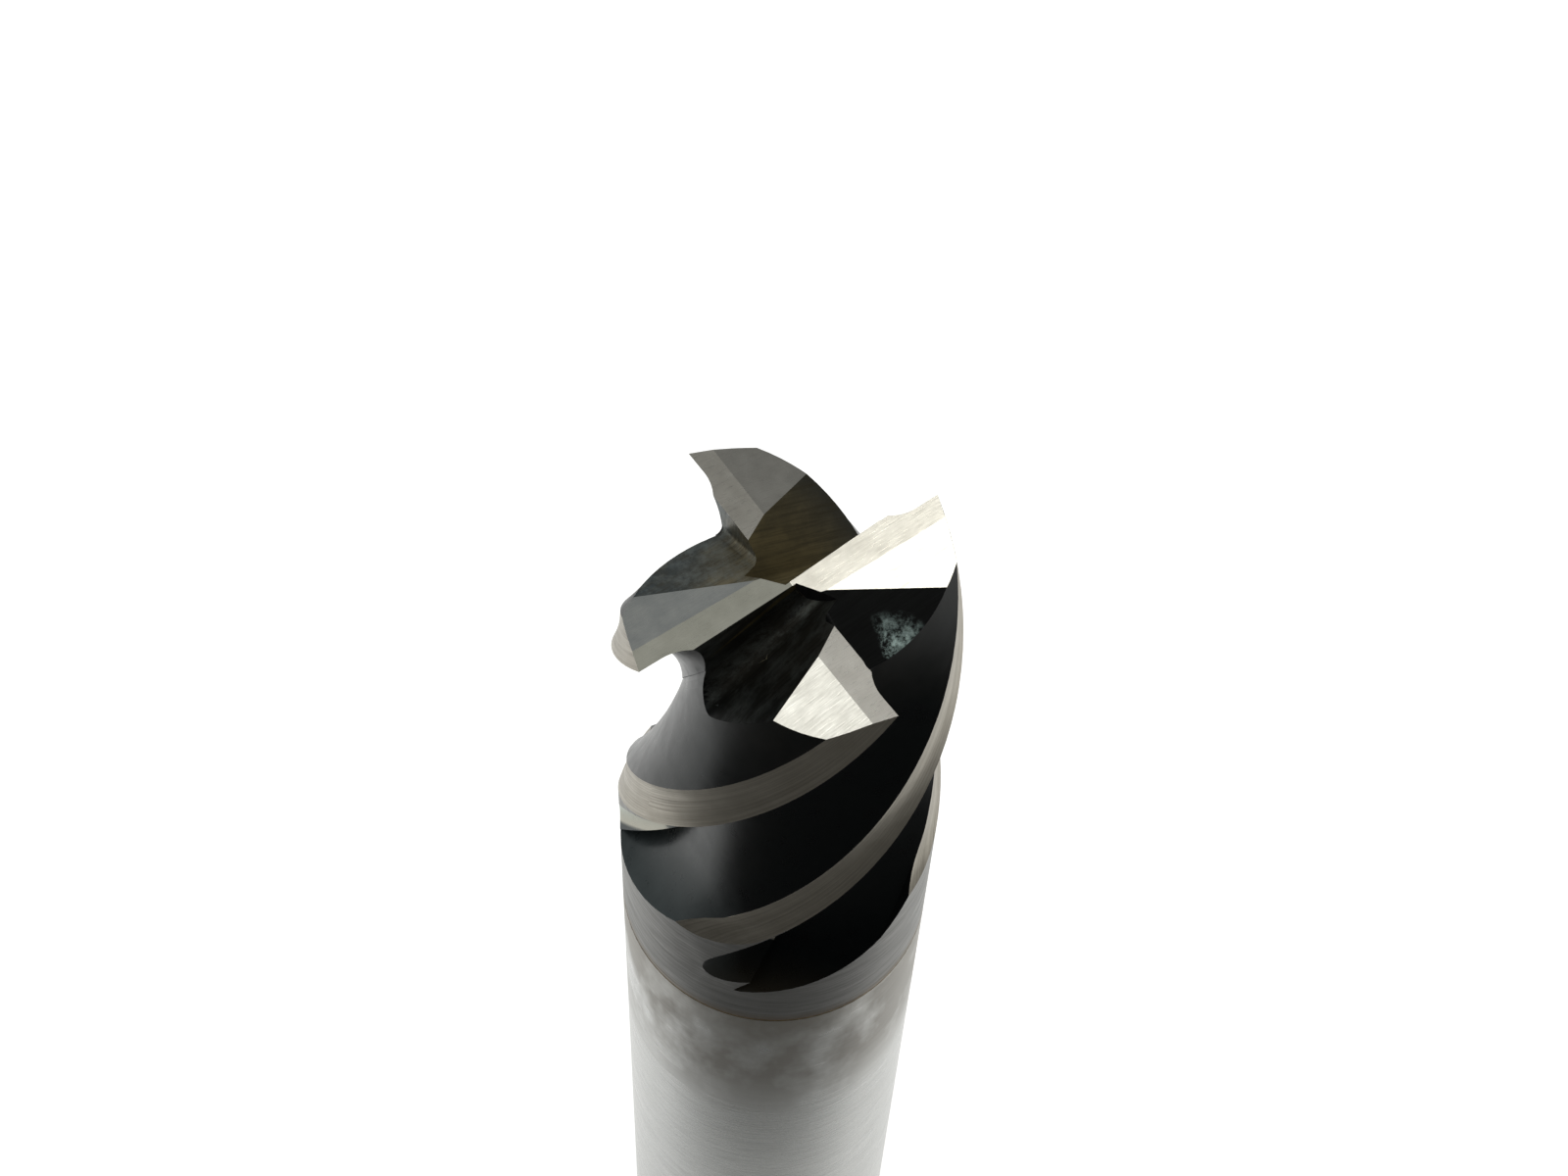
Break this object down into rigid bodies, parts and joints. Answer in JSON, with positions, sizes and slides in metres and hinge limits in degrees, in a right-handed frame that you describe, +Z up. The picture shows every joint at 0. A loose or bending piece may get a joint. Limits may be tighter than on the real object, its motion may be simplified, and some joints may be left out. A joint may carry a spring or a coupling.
{
  "type": "end mill",
  "caption": "Square-end milling cutter: a centre-cutting head with right-hand helical flutes, brazed to a plain round shank, for slotting and profiling metal.",
  "frame": {"origin": "centre of the shank's end face", "axes": "+Z up the tool's axis to the cutting end; one of the two long end teeth points along +X"},
  "size_m": [0.012, 0.012, 0.073],
  "materials": {
    "coated_carbide": "near-black nitride coating in the flutes and on the collar, bare ground brown-grey carbide on the lands and end teeth",
    "braze": "dull, heat-tinted",
    "shank_steel": "ground bright, lightly stained"
  },
  "bodies": {
    "root": {"cutting_head": "coated_carbide", "braze_joint": "braze", "shank": "shank_steel"}
  },
  "joints": []
}
